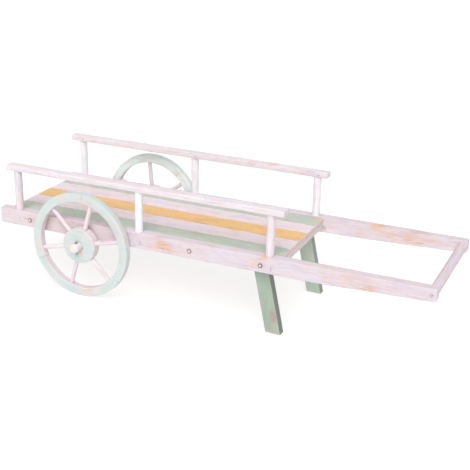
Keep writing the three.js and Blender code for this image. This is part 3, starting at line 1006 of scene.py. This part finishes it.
def screw(node, radius, material, painted, cup=False, slot=False):
    """A screw along Y with a threaded shank; `cup` rings its head with a dished washer.

    `painted` is how fully the paint covers it, on a cup's middle or all over."""
    side = SIDES["left" if node.endswith("left") else "right"]
    low, high = level_box(node)
    x, _, z = (low + high) / 2
    head_radius = (high[0] - low[0]) / 2
    tip, crown = (low[1], high[1]) if side > 0 else (high[1], low[1])
    length = abs(crown - tip)
    head = 2.5 * MM if head_radius > 5 * MM else 2.0 * MM
    seat = length - head
    profile = [(0, 0.3 * MM)]
    for n in range(THREAD_TURNS):
        root = THREAD_START + n * THREAD_PITCH
        profile += [(root, radius * ROOT), (root + THREAD_PITCH / 2, radius)]
    profile += [(seat - 1 * MM, radius), (seat, radius), (seat, head_radius * 0.94)]
    profile += [(seat + 0.2 * head, head_radius)]
    profile += [(seat + up * head, out * head_radius) for up, out in (CUP_HEAD if cup else ROUND_HEAD)]
    crown_place = np.array([x, crown, z])
    piece = new_object(node + "_metal", *turned(np.array([x, tip, z]), crown_place, profile, 40))
    if slot:
        half = np.array([1.3 * head_radius, 1.0 * MM, 0.5 * MM])
        ends = [(-1, -1), (1, -1), (1, 1), (-1, 1)]
        block = np.array([crown_place + half * [a, b, c] for b in (-1, 1) for a, c in ends])
        sides = [(0, 1, 2, 3), (7, 6, 5, 4), (0, 4, 5, 1), (1, 5, 6, 2), (2, 6, 7, 3), (3, 7, 4, 0)]
        drill(piece, [(block, sides)])
    local = points_of(piece) - crown_place
    from_axis = np.hypot(local[:, 0], local[:, 2])
    daub = np.clip(1.9 - from_axis / (0.42 * head_radius), 0, 1) if cup else np.ones(len(local))
    mark(piece, local, far_from_edges(local), coat=daub * painted)
    to_world(piece)
    finish_piece(piece, "chassis", material, [node], smooth=50)


for hand in SIDES:
    screw(f"bearer_screw_rear_{hand}", SHANK, CUP_STEEL, 1.0, cup=True)
    screw(f"bearer_screw_middle_{hand}", SHANK, CUP_STEEL, 1.0, cup=True)
    screw(f"bearer_screw_front_{hand}", SMALL_SHANK, PAINTS["beam"], 0.0)
    screw(f"handle_screw_{hand}", SMALL_SHANK, BOLT_STEEL, 0.54, slot=True)
    screw(f"leg_bolt_{hand}", SHANK, BOLT_STEEL, 0.9, cup=True)


def plain_metal(node, suffix, shape, holes=()):
    """An unpainted piece in place of a CAD node, from its vertices and faces."""
    piece = new_object(node + suffix, *shape)
    drill(piece, holes)
    local = points_of(piece)
    mark(piece, local, far_from_edges(local))
    to_world(piece)
    finish_piece(piece, "chassis", STEEL, [node])


def upright(node, profile):
    """A body of revolution that fills a CAD node's height."""
    low, high = level_box(node)
    x, y, _ = (low + high) / 2
    return turned(np.array([x, y, low[2]]), np.array([x, y, high[2]]), profile, 24)


for hand in SIDES:
    node = f"axle_washer_{hand}"
    low, high = level_box(node)
    outer, thickness = (high[0] - low[0]) / 2, high[1] - low[1]
    profile = outline(outer - WASHER_BORE, thickness, 0.8 * MM, [0.5], [0.5]) + [(WASHER_BORE + outer) / 2, 0]
    plain_metal(node, "_disc", ring_of((low + high) / 2, (0, 1, 0), profile, 64))

    node = f"wheel_pin_{hand}"
    low, high = level_box(node)
    head_radius, length = (high[0] - low[0]) / 2, high[2] - low[2]
    plain_metal(node, "_nail", upright(node, [
        (0, 0.4 * MM), (2.5 * MM, 1.6 * MM), (length - 2 * MM, 1.7 * MM),
        (length - 2 * MM, 0.9 * head_radius), (length - 1.4 * MM, head_radius),
        (length - 0.7 * MM, 0.93 * head_radius), (length - 0.2 * MM, 0.6 * head_radius),
        (length, 0.2 * head_radius)]))

    node = f"leg_nut_{hand}"
    low, high = level_box(node)
    centre = (low + high) / 2
    height, flat = high[1] - low[1], (high[2] - low[2]) / 2
    rows = []
    for place, reach in ((0, 0.9), (0.12, 1.0), (0.88, 1.0), (1, 0.9)):
        turns = [math.radians(60 * k) for k in range(6)]
        rows.append(np.array([
            [centre[0] + math.cos(turn) * reach * flat, low[1] + place * height,
             centre[2] + math.sin(turn) * reach * flat] for turn in turns]))
    plain_metal(node, "_hex", loft(rows), [bore(centre, (0, 1, 0), SHANK + GAP, 3 * height, 24)])

    node = f"axle_screw_{hand}"
    low, high = level_box(node)
    head_radius, length = (high[0] - low[0]) / 2, high[2] - low[2]
    plain_metal(node, "_metal", upright(node, [
        (0, head_radius * 0.2), (0.3 * MM, head_radius * 0.6), (1.0 * MM, head_radius * 0.92),
        (1.6 * MM, head_radius), (2.0 * MM, head_radius * 0.97), (2.0 * MM, SMALL_SHANK),
        (length - 6 * MM, SMALL_SHANK), (length, 0.3 * MM)]))


# ---- pins that hold the posts: small heads in the side of the beam and of the rail ----
# In the beam: (along from the post, below the beam's top), in millimetres.
BEAM_PINS = {
    "rear": [(6.3, 23), (26.3, 21)], "middle": [(9.7, 24.5), (9.9, 31)], "front": [(8.8, 27), (9, 33)],
}
RAIL_PIN = 6 * MM  # along from the post, and up from the rail's underside


def post_pins(hand):
    """The heads of the pins that hold one side's posts."""
    side = SIDES[hand]
    beam_low, beam_high = level_box(f"side_beam_{hand}")
    rail_low, rail_high = level_box(f"top_rail_{hand}")
    outer = beam_high[1] if side > 0 else beam_low[1]
    inner = rail_low[1] if side > 0 else rail_high[1]
    heads = []

    def pin(x, face, outward, z, reach):
        base = np.array([x, face - outward * 1.2 * MM, z])
        top = base + [0, outward * 1.4 * MM, 0]
        profile = [(0, reach * 0.9), (1.0 * MM, reach), (1.2 * MM, reach * 0.9), (1.35 * MM, reach * 0.5)]
        heads.append(turned(base, top, profile, 16))

    for row in ROWS:
        x = centre_of(f"post_{hand}_{row}")[0]
        for along, down in BEAM_PINS[row]:
            pin(x + along * MM, outer, side, beam_high[2] - down * MM, 1.7 * MM)
        pin(x + RAIL_PIN, inner, -side, rail_low[2] + RAIL_PIN, 1.6 * MM)
    pins = new_object(f"post_pins_{hand}", *merge(heads))
    local = points_of(pins)
    mark(pins, local, far_from_edges(local), coat=np.full(len(local), 0.4))
    to_world(pins)
    finish_piece(pins, "chassis", BOLT_STEEL, smooth=50)


for hand in SIDES:
    post_pins(hand)

# ---- floor, light and camera ----
FLOOR_SIZE = 140.0
bpy.ops.mesh.primitive_plane_add(size=FLOOR_SIZE, location=(0, 0, 0))
floor = bpy.context.object
floor.name = "studio_floor"
floor_shader = Shader("plain_floor")
floor_shader.put_all(floor_shader.surface, {
    "Base Color": (0.32, 0.32, 0.32, 1), "Roughness": 0.9,
    "Emission Color": (1, 1, 1, 1), "Emission Strength": 0.72})  # a light table keeps the shadows pale
floor.data.materials.append(floor_shader.material)

world = bpy.data.worlds.new("studio")
world.use_nodes = True
sky = world.node_tree.nodes["Background"]
sky.inputs["Color"].default_value = (1.0, 1.0, 1.0, 1)
sky.inputs["Strength"].default_value = 0.36
bpy.context.scene.world = world


def wide_light(name, direction, strength, spread):
    """A broad, even light that shines along a direction; `spread` is its width in degrees."""
    data = bpy.data.lights.new(name, "SUN")
    data.energy = strength
    data.angle = math.radians(spread)
    light = bpy.data.objects.new(name, data)
    bpy.context.scene.collection.objects.link(light)
    light.rotation_euler = Vector(direction).to_track_quat("-Z", "Y").to_euler()


wide_light("key", (-0.2, 0.66, -0.724), 2.08, 44)
wide_light("top", (0.0, 0.0, -1.0), 0.9, 90)

camera_data = bpy.data.cameras.new("camera")
camera_data.lens = 74.13
camera_data.sensor_width = 36.0
camera_data.clip_end = 60.0
camera = bpy.data.objects.new("camera", camera_data)
bpy.context.scene.collection.objects.link(camera)
CAMERA_PLACE = (1.0025, -2.2934, 1.1990)
CAMERA_TURN, CAMERA_DIP, CAMERA_ROLL = 23.156, 22.113, 3.101  # degrees
camera.matrix_world = (
    Matrix.Translation(CAMERA_PLACE)
    @ Matrix.Rotation(math.radians(CAMERA_TURN), 4, "Z")
    @ Matrix.Rotation(math.radians(90 - CAMERA_DIP), 4, "X")
    @ Matrix.Rotation(math.radians(CAMERA_ROLL), 4, "Z"))
bpy.context.scene.camera = camera
bpy.context.scene.view_settings.view_transform = "Standard"
